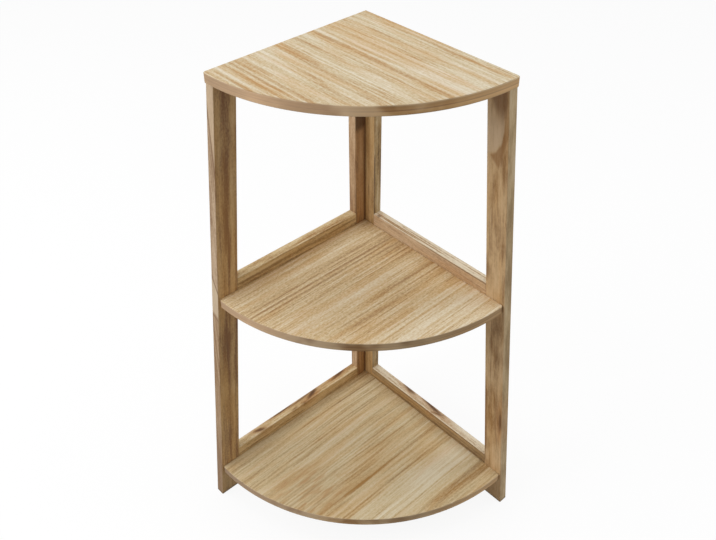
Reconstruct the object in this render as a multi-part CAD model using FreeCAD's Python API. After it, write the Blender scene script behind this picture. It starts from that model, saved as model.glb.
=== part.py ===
"""A three-tier wooden corner shelf.

Two side frames stand against the walls of a room's corner and meet at a right angle at the back.
Each frame is a ladder: an upright rear stile, a front post that leans back towards the top, and
three rails. A quarter-round shelf lies on the frames and two more are screwed in between them.

Frame: +Z up, floor at Z = 0. The left frame stands along Y at the lowest X, the right frame along X
at the highest Y. The back corner of the room is at (-X, +Y) and the open front looks to (+X, -Y).
"""
import FreeCAD, Part
import math
import os

Vector = FreeCAD.Vector

# Driving dimensions, in millimetres.
FRAME_HEIGHT = 636.0          # floor to the underside of the top shelf
BASE_REACH = 300.0            # back corner to the front of a foot, along either wall
TOP_REACH = 230.0             # the same distance where a post meets the top shelf
BOARD_THICKNESS = 13.0        # posts, stiles and rails
POST_WIDTH = 30.0
STILE_FACE = 17.0             # width of each rear stile that shows inside the corner
RAIL_HEIGHT = 30.0            # the middle and low rails
TOP_RAIL_HEIGHT = 22.0
SHELF_THICKNESS = 12.0
LOW_SHELF_HEIGHT = 57.5       # floor to the shelf's upper face
MIDDLE_SHELF_HEIGHT = 357.0   # floor to the shelf's upper face
RAIL_DROP = 1.0               # how far a rail hangs below the underside of its shelf
TOP_OVERHANG = 2.5            # top shelf in front of the posts
SHELF_SETBACK = 2.0           # tips of the two lower shelves behind the front of the posts
TIP_RADIUS = 3.0              # rounding of a shelf's two tips, seen from above
EASED_EDGE = 0.9              # rounding of the boards' and shelves' long edges

DOWEL_DIAMETER = 6.0
DOWEL_SPREAD = 0.5            # between the two dowels of one rail end, as a share of its height
DOWEL_BACK_WALL = 4.0         # wood left behind a dowel hole in the narrow rear stile
DOWEL_END_GAP = 0.5           # room for glue at each end of a dowel
DOWEL_CHAMFER = 0.6

SCREW_DIAMETER = 4.0
SCREW_LENGTH = 25.0
SCREW_HEAD_DIAMETER = 7.5
SCREW_HEAD_RIM = 0.4          # height of the head's straight rim, above its cone
SCREW_TIP = 4.0               # length of the point
SCREW_SINK = 0.3              # screw heads below the face of the wood
SCREW_INSET = 35.0            # from the end of a rail to its nearest screw
TOP_SKIN = 2.0                # wood left above the screws of the top shelf
CORNER_SCREWS_PER_BAY = 2     # along the rear stiles, between two rails
RECESS_SPAN = 4.2             # cross recess in a screw head, from tip to tip
RECESS_WIDTH = 0.9
RECESS_DEPTH = 1.5
HOLE_CLEARANCE = 0.05         # all round a dowel or a screw
CUT_MARGIN = 1.0              # how far a cutter starts outside the wood

# Worked out from the driving dimensions.
HALF_BASE = BASE_REACH / 2
POST_SLOPE = (BASE_REACH - TOP_REACH) / FRAME_HEIGHT
POST_LEVEL_WIDTH = POST_WIDTH * math.hypot(1, POST_SLOPE)
STILE_FRONT = BOARD_THICKNESS + STILE_FACE
DOWEL_LENGTH = 2 * (STILE_FACE - DOWEL_BACK_WALL - DOWEL_END_GAP)
COUNTERBORE_DEPTH = TOP_RAIL_HEIGHT + SHELF_THICKNESS - TOP_SKIN - SCREW_LENGTH
RAIL_BOTTOM = {
    "low": LOW_SHELF_HEIGHT - SHELF_THICKNESS - RAIL_DROP,
    "middle": MIDDLE_SHELF_HEIGHT - SHELF_THICKNESS - RAIL_DROP,
    "top": FRAME_HEIGHT - TOP_RAIL_HEIGHT,
}
RAIL_TOP = {
    "low": RAIL_BOTTOM["low"] + RAIL_HEIGHT,
    "middle": RAIL_BOTTOM["middle"] + RAIL_HEIGHT,
    "top": FRAME_HEIGHT,
}
SIDES = ("left", "right")
UP = Vector(0, 0, 1)


def post_front(height):
    """Distance from the back corner to a post's front edge at this height."""
    return BASE_REACH - POST_SLOPE * height


def post_rear(height):
    """Distance from the back corner to a post's rear edge at this height."""
    return post_front(height) - POST_LEVEL_WIDTH


def wall_point(side, along, inward, height):
    """A point at a distance along one wall from the back corner, off that wall, above the floor."""
    if side == "left":
        return Vector(inward - HALF_BASE, HALF_BASE - along, height)
    return Vector(along - HALF_BASE, HALF_BASE - inward, height)


def wall_direction(side, along, inward):
    """A level direction, given along one wall and square to it."""
    return wall_point(side, along, inward, 0) - wall_point(side, 0, 0, 0)


def board(side, outline):
    """A flat board against one wall, with its long edges eased.

    The outline is a list of (distance along the wall, height) corners.
    """
    corners = [wall_point(side, along, 0, height) for along, height in outline]
    face = Part.Face(Part.makePolygon(corners + corners[:1]))
    solid = face.extrude(wall_direction(side, 0, BOARD_THICKNESS))
    long_edges = sorted(solid.Edges, key=lambda edge: edge.Length)[-4:]
    return solid.makeFillet(EASED_EDGE, long_edges)


def front_post(side):
    """The leaning front board, cut level at the floor and under the top shelf."""
    return board(side, [
        (post_rear(0), 0),
        (post_front(0), 0),
        (post_front(FRAME_HEIGHT), FRAME_HEIGHT),
        (post_rear(FRAME_HEIGHT), FRAME_HEIGHT),
    ])


def rear_stile(side):
    """The upright back board. The left one fills the corner and the right one butts against it."""
    back = 0 if side == "left" else BOARD_THICKNESS
    return board(side, [
        (back, 0),
        (STILE_FRONT, 0),
        (STILE_FRONT, FRAME_HEIGHT),
        (back, FRAME_HEIGHT),
    ])


def rail(side, tier):
    """A level board from the stile to the post, with its front end cut to the post's lean."""
    bottom = RAIL_BOTTOM[tier]
    top = RAIL_TOP[tier]
    return board(side, [
        (STILE_FRONT, bottom),
        (post_rear(bottom), bottom),
        (post_rear(top), top),
        (STILE_FRONT, top),
    ])


def quarter_shelf(wall_gap, reach, underside):
    """A quarter-round shelf whose straight sides lie wall_gap off the walls."""
    radius = reach - wall_gap
    corner = wall_point("left", wall_gap, wall_gap, underside)
    solid = Part.makeCylinder(radius, SHELF_THICKNESS, corner, UP, 90)
    solid.rotate(corner, UP, -90)
    tips = []
    for edge in solid.Edges:
        ends = [vertex.Point for vertex in edge.Vertexes]
        upright = len(ends) == 2 and abs(ends[0].z - ends[1].z) > SHELF_THICKNESS / 2
        if upright and ends[0].distanceToPoint(corner) > radius / 2:
            tips.append(edge)
    solid = solid.makeFillet(TIP_RADIUS, tips)
    rims = []
    for face in solid.Faces:
        if abs(face.normalAt(0, 0).z) > 0.5:
            rims.extend(face.Edges)
    return solid.makeFillet(EASED_EDGE, rims)


def turned(profile):
    """A solid turned about +Z from a closed profile of (radius, height) corners."""
    points = [Vector(radius, 0, height) for radius, height in profile]
    face = Part.Face(Part.makePolygon(points + points[:1]))
    return face.revolve(Vector(0, 0, 0), UP, 360)


def set_along(solid, point, direction):
    """A copy of a solid that was made about +Z at the origin, moved to a point and turned."""
    placed = solid.copy()
    placed.Placement = FreeCAD.Placement(point, FreeCAD.Rotation(UP, direction))
    return placed


def dowel_blank():
    """A plain dowel with chamfered ends, centred at the origin."""
    radius = DOWEL_DIAMETER / 2
    half = DOWEL_LENGTH / 2
    return turned([
        (0, -half),
        (radius - DOWEL_CHAMFER, -half),
        (radius, -half + DOWEL_CHAMFER),
        (radius, half - DOWEL_CHAMFER),
        (radius - DOWEL_CHAMFER, half),
        (0, half),
    ])


def dowel_cutter():
    """The room that a dowel needs, glue gaps included."""
    radius = DOWEL_DIAMETER / 2 + HOLE_CLEARANCE
    half = DOWEL_LENGTH / 2 + DOWEL_END_GAP
    return Part.makeCylinder(radius, 2 * half, Vector(0, 0, -half))


def screw_profile(entry, clearance):
    """Half section of a countersunk screw that drives along +Z from its head at the origin."""
    head = SCREW_HEAD_DIAMETER / 2 + clearance
    shank = SCREW_DIAMETER / 2 + clearance
    return [
        (0, -entry),
        (head, -entry),
        (head, SCREW_HEAD_RIM),
        (shank, SCREW_HEAD_RIM + head - shank),
        (shank, SCREW_LENGTH - SCREW_TIP),
        (0, SCREW_LENGTH + clearance),
    ]


def screw_blank():
    """A countersunk wood screw with a cross recess."""
    solid = turned(screw_profile(0, 0))
    for length, width in ((RECESS_SPAN, RECESS_WIDTH), (RECESS_WIDTH, RECESS_SPAN)):
        start = Vector(-length / 2, -width / 2, -CUT_MARGIN)
        solid = solid.cut(Part.makeBox(length, width, RECESS_DEPTH + CUT_MARGIN, start))
    return solid


def screw_cutter(entry):
    """The hole for a screw, open from its head out to the face of the wood."""
    return turned(screw_profile(entry + CUT_MARGIN, HOLE_CLEARANCE))


def dowel_spots(side, tier):
    """Centre points of one rail's dowels, as (point, name of the upright board)."""
    middle = (RAIL_BOTTOM[tier] + RAIL_TOP[tier]) / 2
    offset = DOWEL_SPREAD * (RAIL_TOP[tier] - RAIL_BOTTOM[tier]) / 2
    spots = []
    for height in (middle - offset, middle + offset):
        for along, upright in (
            (STILE_FRONT, side + "_rear_stile"),
            (post_rear(height), side + "_front_post"),
        ):
            spots.append((wall_point(side, along, BOARD_THICKNESS / 2, height), upright))
    return spots


def rail_screw_places(tier):
    """Distances along the wall of the two screws in one rail."""
    shortest_end = post_rear(RAIL_TOP[tier])
    return (STILE_FRONT + SCREW_INSET, shortest_end - SCREW_INSET)


# Boards and shelves, by name.
pieces = {}
for side in SIDES:
    pieces[side + "_front_post"] = front_post(side)
    pieces[side + "_rear_stile"] = rear_stile(side)
    for tier in RAIL_BOTTOM:
        pieces[f"{side}_{tier}_rail"] = rail(side, tier)
pieces["top_shelf"] = quarter_shelf(0, TOP_REACH + TOP_OVERHANG, FRAME_HEIGHT)
SHELF_TOPS = {"middle": MIDDLE_SHELF_HEIGHT, "low": LOW_SHELF_HEIGHT}
for tier, shelf_top in SHELF_TOPS.items():
    reach = post_front(shelf_top) - SHELF_SETBACK
    pieces[tier + "_shelf"] = quarter_shelf(BOARD_THICKNESS, reach, shelf_top - SHELF_THICKNESS)


def fasten(blank, cutter, point, direction, joined):
    """Bore the joined pieces for one fastener, and give back the fastener in its place."""
    bore = set_along(cutter, point, direction)
    for name in joined:
        pieces[name] = pieces[name].cut(bore)
    return set_along(blank, point, direction)


# Dowels, two at each end of every rail.
groups = {}
for side in SIDES:
    for tier in RAIL_BOTTOM:
        name = f"{side}_{tier}_rail"
        groups[name + "_dowels"] = [
            fasten(dowel_blank(), dowel_cutter(), point, wall_direction(side, 1, 0), (name, upright))
            for point, upright in dowel_spots(side, tier)
        ]

# Screws from the wall side of the left stile into the edge of the right one.
groups["corner_screws"] = []
for below, above in (("low", "middle"), ("middle", "top")):
    bay_bottom = RAIL_TOP[below]
    bay_height = RAIL_BOTTOM[above] - bay_bottom
    for place in range(CORNER_SCREWS_PER_BAY):
        height = bay_bottom + bay_height * (place + 0.5) / CORNER_SCREWS_PER_BAY
        groups["corner_screws"].append(fasten(
            screw_blank(),
            screw_cutter(SCREW_SINK),
            wall_point("left", BOARD_THICKNESS / 2, SCREW_SINK, height),
            wall_direction("left", 0, 1),
            ("left_rear_stile", "right_rear_stile"),
        ))

# Screws up through the top rails, from counterbored holes, into the top shelf.
groups["top_shelf_screws"] = []
for side in SIDES:
    for along in rail_screw_places("top"):
        seat = RAIL_BOTTOM["top"] + COUNTERBORE_DEPTH
        groups["top_shelf_screws"].append(fasten(
            screw_blank(),
            screw_cutter(COUNTERBORE_DEPTH),
            wall_point(side, along, BOARD_THICKNESS / 2, seat),
            UP,
            (side + "_top_rail", "top_shelf"),
        ))

# Screws from the wall side of the lower rails into the edges of their shelves.
for tier, shelf_top in SHELF_TOPS.items():
    overlap_bottom = max(RAIL_BOTTOM[tier], shelf_top - SHELF_THICKNESS)
    overlap_top = min(RAIL_TOP[tier], shelf_top)
    height = (overlap_bottom + overlap_top) / 2
    groups[tier + "_shelf_screws"] = [
        fasten(
            screw_blank(),
            screw_cutter(SCREW_SINK),
            wall_point(side, along, SCREW_SINK, height),
            wall_direction(side, 0, 1),
            (f"{side}_{tier}_rail", tier + "_shelf"),
        )
        for side in SIDES
        for along in rail_screw_places(tier)
    ]

os.makedirs("parts", exist_ok=True)
for name, solid in pieces.items():
    solid.exportStep(f"parts/{name}.step")
for name, solids in groups.items():
    Part.makeCompound(solids).exportStep(f"parts/{name}.step")
print(len(pieces), "boards and shelves,", len(groups), "groups of fasteners")
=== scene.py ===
# %% [markdown]
# # A corner shelf in pale wood
# The real object is a free-standing corner unit. Two ladder-like side frames meet in the back
# corner and carry three quarter-round shelves. The CAD model already has each board, shelf, dowel
# and screw at its true size and with its eased edges, so this lesson keeps those shapes. It adds
# what the solids lack: the camera of the photo, soft studio light, and a finish for every board.

# %% Load the frame
import math
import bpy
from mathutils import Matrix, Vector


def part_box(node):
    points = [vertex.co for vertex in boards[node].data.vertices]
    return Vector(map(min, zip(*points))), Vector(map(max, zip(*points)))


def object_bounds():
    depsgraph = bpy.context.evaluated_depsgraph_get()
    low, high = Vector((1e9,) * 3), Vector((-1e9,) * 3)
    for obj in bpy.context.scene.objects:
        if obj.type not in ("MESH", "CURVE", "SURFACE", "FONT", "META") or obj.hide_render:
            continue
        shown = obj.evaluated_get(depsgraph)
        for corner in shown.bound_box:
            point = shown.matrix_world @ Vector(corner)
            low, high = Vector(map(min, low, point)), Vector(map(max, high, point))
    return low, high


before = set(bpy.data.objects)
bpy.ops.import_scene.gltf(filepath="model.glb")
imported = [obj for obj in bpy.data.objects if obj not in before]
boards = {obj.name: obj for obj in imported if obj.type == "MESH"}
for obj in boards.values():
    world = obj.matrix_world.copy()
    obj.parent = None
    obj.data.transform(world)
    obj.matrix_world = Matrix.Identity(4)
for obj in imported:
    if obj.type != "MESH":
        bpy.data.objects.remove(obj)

from types import SimpleNamespace

import bmesh
import bpy
from mathutils import Euler, Quaternion, Vector

scene = bpy.context.scene
cad_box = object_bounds()
box_sides = [round(side, 4) for side in cad_box[1] - cad_box[0]]
print(len(boards), "CAD nodes in a box of", box_sides, "m")

# %% [markdown]
# ## The camera
# The photo looks down into the open corner from in front and above. A plain camera was fitted to
# about sixty points measured on the boards, and these are its numbers. The roll is a third of a
# degree. Copying it is worth the trouble, because every edge then lands on its own pixel.

# %% Place the camera
PHOTO_WIDTH = 716
FOCAL_LENGTH_IN_PIXELS = 848.26
CAMERA_PLACE = Vector((0.5541, -0.5116, 1.0485))
CAMERA_HEADING = math.radians(47.441)
CAMERA_DIP = math.radians(39.562)
CAMERA_ROLL = math.radians(-0.374)

camera = bpy.data.objects.new("photo_camera", bpy.data.cameras.new("photo_camera"))
scene.collection.objects.link(camera)
camera.data.sensor_width = 36.0
camera.data.lens = camera.data.sensor_width * FOCAL_LENGTH_IN_PIXELS / PHOTO_WIDTH
level = Euler((math.pi / 2 - CAMERA_DIP, 0.0, CAMERA_HEADING)).to_quaternion()
camera.location = CAMERA_PLACE
camera.rotation_mode = "QUATERNION"
camera.rotation_quaternion = level @ Quaternion((0.0, 0.0, 1.0), CAMERA_ROLL)
scene.camera = camera
print("lens", round(camera.data.lens, 2), "mm, camera at", tuple(CAMERA_PLACE))

# %% [markdown]
# ## Short calls for shader nodes
# A finish is a tree of small nodes. Building one in code takes the same three lines again and
# again: make the node, set it, link it. This little class puts them behind short calls, so that
# the wood below reads as a recipe. A value that is a socket is linked, and any other value is set.


# %% A bench for node trees
class Bench:
    """A node tree with short calls for the nodes that the finishes are made of."""

    def __init__(self, tree):
        self.tree = tree
        tree.nodes.clear()

    def add(self, kind, inputs=None, **settings):
        """A node with its settings, and with its inputs linked or set."""
        made = self.tree.nodes.new(kind)
        for name, value in settings.items():
            setattr(made, name, value)
        return self.feed(made, inputs or {})

    def feed(self, made, inputs):
        """The same node with its inputs linked or set."""
        for name, value in inputs.items():
            if isinstance(value, bpy.types.NodeSocket):
                self.tree.links.new(value, made.inputs[name])
            else:
                made.inputs[name].default_value = value
        return made

    def sum(self, operation, *values):
        """One step of arithmetic."""
        return self.add("ShaderNodeMath", dict(enumerate(values)), operation=operation).outputs[0]

    def times(self, first, second):
        """The product of two values."""
        return self.sum("MULTIPLY", first, second)

    def split(self, place):
        """The three parts of a place or a direction."""
        return self.add("ShaderNodeSeparateXYZ", {0: place}).outputs

    def join(self, *parts):
        """A place from its three parts."""
        return self.add("ShaderNodeCombineXYZ", dict(enumerate(parts))).outputs[0]

    def nudge(self, tone, pattern, amount):
        """A tone moved up and down by a pattern whose middle is one half."""
        return self.sum("MULTIPLY_ADD", self.sum("SUBTRACT", pattern, 0.5), amount, tone)

    def fade(self, value, start, end):
        """0 at the start value and 1 at the end value, with a soft slope between."""
        inputs = {"Value": value, "From Min": start, "From Max": end}
        return self.add("ShaderNodeMapRange", inputs, interpolation_type="SMOOTHSTEP").outputs[0]

    def between(self, value, start, end, blur):
        """1 between the start and end values, fading out over the blur on both sides."""
        rise = self.fade(value, start - blur, start + blur)
        return self.times(rise, self.fade(value, end + blur, end - blur))

    def stretch(self, place, scale):
        """The same place on a scale of its own in each direction."""
        return self.add("ShaderNodeMapping", {"Vector": place, "Scale": scale}).outputs[0]

    def in_radii(self, place, middle, radii, skew=0.0):
        """A place measured in the radii of an ellipsoid, and its distance from the middle."""
        inputs = {"Vector": place, "Location": middle, "Scale": radii, "Rotation": (0.0, skew, 0.0)}
        scaled = self.add("ShaderNodeMapping", inputs, vector_type="TEXTURE").outputs[0]
        length = self.add("ShaderNodeVectorMath", {0: scaled}, operation="LENGTH")
        return scaled, length.outputs["Value"]

    def noise(self, place, scale, detail=2.0, roughness=0.5):
        """Soft noise between 0 and 1, with a number of waves a metre in each direction."""
        inputs = {"Vector": self.stretch(place, scale), "Scale": 1.0}
        inputs.update({"Detail": detail, "Roughness": roughness})
        return self.add("ShaderNodeTexNoise", inputs).outputs[0]

    def stripes(self, value, waves, detail=2.0, roughness=0.5):
        """Soft noise that changes with one number only, so it draws unbroken stripes."""
        inputs = {"W": self.times(value, waves), "Scale": 1.0}
        inputs.update({"Detail": detail, "Roughness": roughness})
        return self.add("ShaderNodeTexNoise", inputs, noise_dimensions="1D").outputs[0]

    def ramp(self, value, stops):
        """A colour chosen by a number between 0 and 1."""
        made = self.add("ShaderNodeValToRGB", {0: value})
        for _ in range(len(stops) - 2):
            made.color_ramp.elements.new(0.5)
        for element, (position, colour) in zip(made.color_ramp.elements, stops):
            element.position = position
            element.color = (*colour, 1.0)
        return made.outputs[0]

    def blend(self, share, first, second, how="MIX"):
        """Two colours mixed, from the first at share 0 to the second at share 1."""
        values = {0: share, 6: first, 7: second}
        for slot in (6, 7):
            if isinstance(values[slot], tuple):
                values[slot] = (*values[slot], 1.0)
        return self.add("ShaderNodeMix", values, data_type="RGBA", blend_type=how).outputs[2]


def new_finish(name):
    """An empty finish, and the bench that its nodes are made on."""
    material = bpy.data.materials.new(name)
    material.use_nodes = True
    return material, Bench(material.node_tree)


print("node bench ready")

# %% [markdown]
# ## Floor and background
# The photo has a bright white ground with next to no shadow. Turning up the lamps until the floor
# burns out would bleach the wood as well. Instead the floor knows which rays come from the camera
# or from a reflection, and shows those mostly a plain white of strength 1. The rest is an ordinary
# matt surface, so the floor still carries the soft shadow of the feet.

# %% Mix the floor's finish
WHITE_SHARE = 0.90
FLOOR_GREY = (0.50, 0.49, 0.48)
WHITE = (1.0, 1.0, 1.0)


def seen_directly(bench):
    """1 for rays that come from the camera, a mirror-like surface or clear glass."""
    ray = bench.add("ShaderNodeLightPath").outputs
    seen = bench.sum("MAXIMUM", ray["Is Camera Ray"], ray["Is Glossy Ray"])
    return bench.sum("MAXIMUM", seen, ray["Is Transmission Ray"])


def floor_finish():
    """A floor that is white to the eye and a matt grey to the lamps."""
    material, bench = new_finish("white_floor")
    seen = seen_directly(bench)
    colour = bench.blend(seen, FLOOR_GREY, WHITE)
    matt = bench.add("ShaderNodeBsdfDiffuse", {"Color": colour})
    glow = bench.add("ShaderNodeEmission", {"Color": (*WHITE, 1.0), "Strength": 1.0})
    share = bench.times(seen, WHITE_SHARE)
    mixed = bench.add("ShaderNodeMixShader", {0: share, 1: matt.outputs[0], 2: glow.outputs[0]})
    bench.add("ShaderNodeOutputMaterial", {"Surface": mixed.outputs[0]})
    return material


white_floor = floor_finish()
print("floor finish of", len(white_floor.node_tree.nodes), "nodes")

# %% Lay the floor
FLOOR_HALF_WIDTH = 8.0
FLOOR_DROP = 0.0004

floor_mesh = bpy.data.meshes.new("floor")
sheet = bmesh.new()
bmesh.ops.create_grid(sheet, x_segments=1, y_segments=1, size=FLOOR_HALF_WIDTH)
bmesh.ops.translate(sheet, verts=sheet.verts, vec=(0.0, 0.0, -FLOOR_DROP))
sheet.to_mesh(floor_mesh)
sheet.free()
floor = bpy.data.objects.new("floor", floor_mesh)
scene.collection.objects.link(floor)
floor.data.materials.append(white_floor)
print("floor", 2 * FLOOR_HALF_WIDTH, "m wide")

# %% [markdown]
# ## Light
# The boards in the photo tell where the light comes from. Faces that look to the left front are
# bright, faces that look to the right are dark, and the shelves are even from above. So one large
# soft light stands at the left front, two weaker ones brighten the rear, one hangs overhead, and
# the white room does the rest. The lamp powers were solved from the brightness of some twenty
# faces. On the top shelf they add up to a level of 1, so a colour renders about as it is written.

# %% Hang the lamps
scene.view_settings.view_transform = "Standard"
LAMP_SIZE = 1.3
LIGHT_AIM = Vector((0.0, 0.0, 0.33))
LAMPS = {
    "left_softbox": ((-0.80, -1.85, 1.45), 22.0),
    "left_rear_softbox": ((-1.80, -0.90, 1.70), 10.0),
    "right_rear_softbox": ((1.30, 1.60, 1.70), 12.0),
    "overhead_softbox": ((-0.20, 0.20, 2.60), 11.0),
}

for name, (place, watts) in LAMPS.items():
    lamp = bpy.data.lights.new(name, "AREA")
    lamp.shape = "SQUARE"
    lamp.size = LAMP_SIZE
    lamp.energy = watts
    stand = bpy.data.objects.new(name, lamp)
    stand.location = place
    stand.rotation_mode = "QUATERNION"
    stand.rotation_quaternion = (LIGHT_AIM - Vector(place)).to_track_quat("-Z", "Y")
    scene.collection.objects.link(stand)
print(len(LAMPS), "softboxes of", sum(watts for place, watts in LAMPS.values()), "watts in all")

# %% Light the room
ROOM_LIGHT = (0.44, 0.44, 0.45)

scene.world = bpy.data.worlds.new("white_room")
scene.world.use_nodes = True
room = Bench(scene.world.node_tree)
room_colour = room.blend(seen_directly(room), ROOM_LIGHT, WHITE)
room_glow = room.add("ShaderNodeBackground", {"Color": room_colour, "Strength": 1.0})
room.add("ShaderNodeOutputWorld", {"Surface": room_glow.outputs[0]})
print("room light", ROOM_LIGHT)

# %% [markdown]
# ## Straight grain
# The boards and shelves are cut along the tree, so their growth lines run the whole length, a few
# millimetres apart and slightly wavy. Noise that is only pulled long breaks up into lens shapes.
# Noise that reads one number, the distance across the board, draws lines that run through. Real
# wood shows both: unbroken growth lines, and short streaks, flecks and fibres between them. Slow
# noise first bends the distance across, which makes everything wander together. The grain sits in
# a node group, because every board uses it with values of its own: how far the lines wander, how
# they slant through the board, how many there are to a metre, and how strong each size of line is.
# The sizes of the patterns are waves to a metre, along, across and through the board.

# %% Set the sizes of the grain
USUAL_GRAIN = {
    "Seed": 0.0,
    "Wander": 0.006,
    "Slant": 0.35,
    "Pitch": 190.0,
    "Bands": 0.60,
    "Lines": 0.65,
    "Streaks": 0.80,
    "Hairs": 0.55,
    "Flecks": 0.35,
    "Clouds": 0.0,
}
GRAIN_RESULTS = ("Tone", "Warm", "Fibre", "Shift")
GRAIN_WAVES = {
    "slow": (4.5, 11.0, 11.0),
    "strength": (9.0, 60.0, 35.0),
    "streaks": (8.0, 170.0, 90.0),
    "hairs": (24.0, 460.0, 460.0),
    "flecks": (260.0, 520.0, 520.0),
    "clouds": (13.0, 48.0, 48.0),
    "fibre": (60.0, 1500.0, 1500.0),
    "pores": (95.0, 2300.0, 2300.0),
    "narrow warmth": (12.0, 90.0, 50.0),
    "broad warmth": (6.0, 24.0, 24.0),
}
BAND_WAVES = 28.0
FIBRE_SHARE = 0.20
PORE_SHARE = 0.10
PORE_DEPTH = 0.6
print(len(GRAIN_WAVES), "patterns in the grain")

# %% Build the grain group


def grain_group():
    """The grain as a node group: tone, warmth, fibre, and how far the lines are shifted."""
    tree = bpy.data.node_groups.new("straight_grain", "ShaderNodeTree")
    tree.interface.new_socket("Place", in_out="INPUT", socket_type="NodeSocketVector")
    for name in USUAL_GRAIN:
        tree.interface.new_socket(name, in_out="INPUT", socket_type="NodeSocketFloat")
    for name in GRAIN_RESULTS:
        tree.interface.new_socket(name, in_out="OUTPUT", socket_type="NodeSocketFloat")
    bench = Bench(tree)
    given = bench.add("NodeGroupInput").outputs
    moved = {0: given["Place"], 1: given["Seed"]}
    place = bench.add("ShaderNodeVectorMath", moved, operation="ADD").outputs[0]
    along, across, through = bench.split(place)

    slow = bench.noise(place, GRAIN_WAVES["slow"], detail=2.5)
    wander = bench.times(bench.sum("SUBTRACT", slow, 0.5), given["Wander"])
    depth = bench.split(given["Place"])[2]
    shift = bench.sum("MULTIPLY_ADD", depth, given["Slant"], wander)
    ring = bench.sum("ADD", across, shift)
    drawn = bench.join(along, ring, through)

    bands = bench.stripes(ring, BAND_WAVES, detail=1.0)
    lines = bench.stripes(ring, given["Pitch"], detail=3.0, roughness=0.62)
    strength = bench.fade(bench.noise(drawn, GRAIN_WAVES["strength"]), 0.30, 0.62)
    streaks = bench.noise(drawn, GRAIN_WAVES["streaks"], detail=3.0, roughness=0.6)
    hairs = bench.noise(drawn, GRAIN_WAVES["hairs"], detail=3.0, roughness=0.7)
    flecks = bench.noise(drawn, GRAIN_WAVES["flecks"], detail=2.0, roughness=0.6)
    clouds = bench.noise(drawn, GRAIN_WAVES["clouds"], detail=4.0, roughness=0.6)
    fibre = bench.noise(drawn, GRAIN_WAVES["fibre"])
    pores = bench.fade(bench.noise(drawn, GRAIN_WAVES["pores"], detail=1.0), 0.60, 0.74)

    clear_lines = bench.sum("MULTIPLY_ADD", bench.sum("SUBTRACT", lines, 0.5), strength, 0.5)
    tone = bench.nudge(0.5, bands, given["Bands"])
    tone = bench.nudge(tone, clear_lines, given["Lines"])
    tone = bench.nudge(tone, streaks, given["Streaks"])
    tone = bench.nudge(tone, hairs, given["Hairs"])
    tone = bench.nudge(tone, flecks, given["Flecks"])
    tone = bench.nudge(tone, clouds, given["Clouds"])
    tone = bench.nudge(tone, fibre, FIBRE_SHARE)
    tone = bench.sum("MULTIPLY_ADD", pores, -PORE_SHARE, tone)

    narrow_warm = bench.noise(drawn, GRAIN_WAVES["narrow warmth"])
    broad_warm = bench.noise(drawn, GRAIN_WAVES["broad warmth"])
    warm = bench.fade(bench.sum("ADD", narrow_warm, broad_warm), 0.80, 1.25)
    relief = bench.sum("MULTIPLY_ADD", pores, -PORE_DEPTH, fibre)
    bench.add("NodeGroupOutput", {"Tone": tone, "Warm": warm, "Fibre": relief, "Shift": shift})
    return tree


grain = grain_group()
print("grain group of", len(grain.nodes), "nodes")

# %% [markdown]
# ## Laying the grain along a board
# Each board has its own grain direction, so its finish starts from the Object coordinates and sorts
# them into along, across and through. A knot is an ellipsoid in that space. The growth lines part
# round it, which is done by squeezing the distance across towards the knot before the grain is
# drawn. Colours are written as a paint chart shows them, from 0 to 255, and turned into light.

# %% Part the grain round a knot
KNOT_PULL = 0.7
KNOT_RAGGED = 1.3


def paint(red, green, blue):
    """A colour from a paint chart as the amount of light it returns."""
    values = (red / 255, green / 255, blue / 255)
    return tuple(v / 12.92 if v <= 0.04045 else ((v + 0.055) / 1.055) ** 2.4 for v in values)


def part_round_knot(bench, board, middle, radii, depth, skew=0.0):
    """Bends the grain round one knot and adds the knot's shade. A skewed knot lies askew."""
    place = bench.join(board.along, board.across, board.through)
    scaled, far = bench.in_radii(place, middle, radii, skew)
    far = bench.nudge(far, bench.noise(scaled, (0.9, 0.9, 0.9), detail=3.0), KNOT_RAGGED)
    pull = bench.times(bench.fade(far, 3.0, 0.4), KNOT_PULL)
    side = bench.sum("SUBTRACT", board.across, middle[1])
    board.across = bench.sum("SUBTRACT", board.across, bench.times(side, pull))
    heart = bench.times(bench.fade(far, 1.5, 0.2), depth)
    board.knot = bench.sum("MAXIMUM", board.knot, heart)
    halo = bench.times(bench.fade(far, 3.2, 0.9), depth)
    board.halo = bench.sum("MAXIMUM", board.halo, halo)


print("a tan of (190, 155, 116) returns", [round(v, 3) for v in paint(190, 155, 116)])

# %% Lay the grain


def lay_grain(bench, axes, face, turn, amounts, knots):
    """The grain's results for one board, with its place along, across and in from its face."""
    board = SimpleNamespace(knot=0.0, halo=0.0)
    board.where = bench.add("ShaderNodeTexCoord").outputs["Object"]
    inputs = {"Vector": board.where, "Rotation": turn}
    turned = bench.add("ShaderNodeMapping", inputs, vector_type="TEXTURE").outputs[0]
    parts = bench.split(turned)
    board.along, board.across, depth = (parts["XYZ".index(axis)] for axis in axes)
    board.through = bench.sum("SUBTRACT", depth, face)
    for knot in knots:
        part_round_knot(bench, board, *knot)
    board.place = bench.join(board.along, board.across, board.through)
    values = {"Place": board.place, **USUAL_GRAIN, **amounts}
    group = bench.add("ShaderNodeGroup", node_tree=grain)
    drawn = bench.feed(group, values).outputs
    board.tone = drawn["Tone"]
    board.warm = drawn["Warm"]
    board.fibre = drawn["Fibre"]
    board.ring = bench.sum("ADD", board.across, drawn["Shift"])
    facing = bench.add("ShaderNodeNewGeometry").outputs["Normal"]
    sides = bench.add("ShaderNodeVectorMath", {0: facing}, operation="ABSOLUTE").outputs[0]
    board.facing = bench.split(sides)
    return board


print("each board reads", len(GRAIN_RESULTS), "results of the grain")

# %% [markdown]
# ## Single streaks
# The eye remembers single streaks, so these are drawn one by one. Each has its place across the
# board, half its width, its darkness, and where along the board it starts and ends. They could be
# painted on a picture, but a formula follows the bent grain. A little noise breaks them up.

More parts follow.
